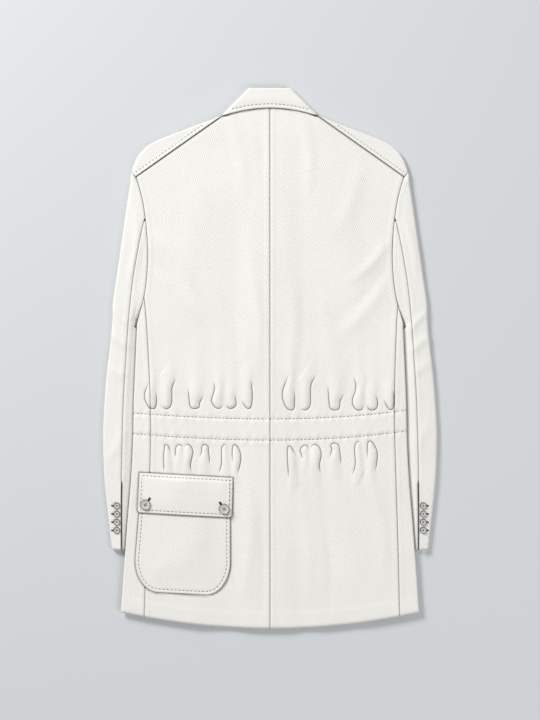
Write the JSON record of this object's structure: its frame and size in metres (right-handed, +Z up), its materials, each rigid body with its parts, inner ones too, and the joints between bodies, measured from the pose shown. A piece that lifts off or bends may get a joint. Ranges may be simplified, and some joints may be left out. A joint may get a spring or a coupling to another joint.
{
  "type": "safari jacket",
  "caption": "Long tailored safari jacket laid flat, back up, with shoulder yokes, a gathered waist casing, vented cuffs and a buttoned patch pocket on one back panel.",
  "frame": {"origin": "middle of the jacket's outline on the surface that it lies on", "axes": "+Z up from that surface, +Y from the hem to the collar, +X towards the wearer's right, the back facing up"},
  "size_m": [0.551, 0.8919, 0.0171],
  "materials": {
    "cotton_drill": "matt twill weave",
    "button": "satin",
    "topstitch_thread": "twisted thread"
  },
  "bodies": {
    "root": {"back_left": "cotton_drill", "back_right": "cotton_drill", "side_left": "cotton_drill", "side_right": "cotton_drill", "front_left": "cotton_drill", "front_right": "cotton_drill", "yoke_left": "cotton_drill", "yoke_right": "cotton_drill", "top_sleeve_left": "cotton_drill", "top_sleeve_right": "cotton_drill", "under_sleeve_left": "cotton_drill", "under_sleeve_right": "cotton_drill", "collar_fall": "cotton_drill", "collar_stand": "cotton_drill", "pocket_bag": "cotton_drill", "pocket_flap": "cotton_drill", "flap_button_outer": "button", "flap_button_inner": "button", "cuff_button_left_1": "button", "cuff_button_left_2": "button", "cuff_button_left_3": "button", "cuff_button_left_4": "button", "cuff_button_right_1": "button", "cuff_button_right_2": "button", "cuff_button_right_3": "button", "cuff_button_right_4": "button", "front_button_1": "button", "front_button_2": "button", "front_button_3": "button", "front_button_4": "button"}
  },
  "joints": []
}
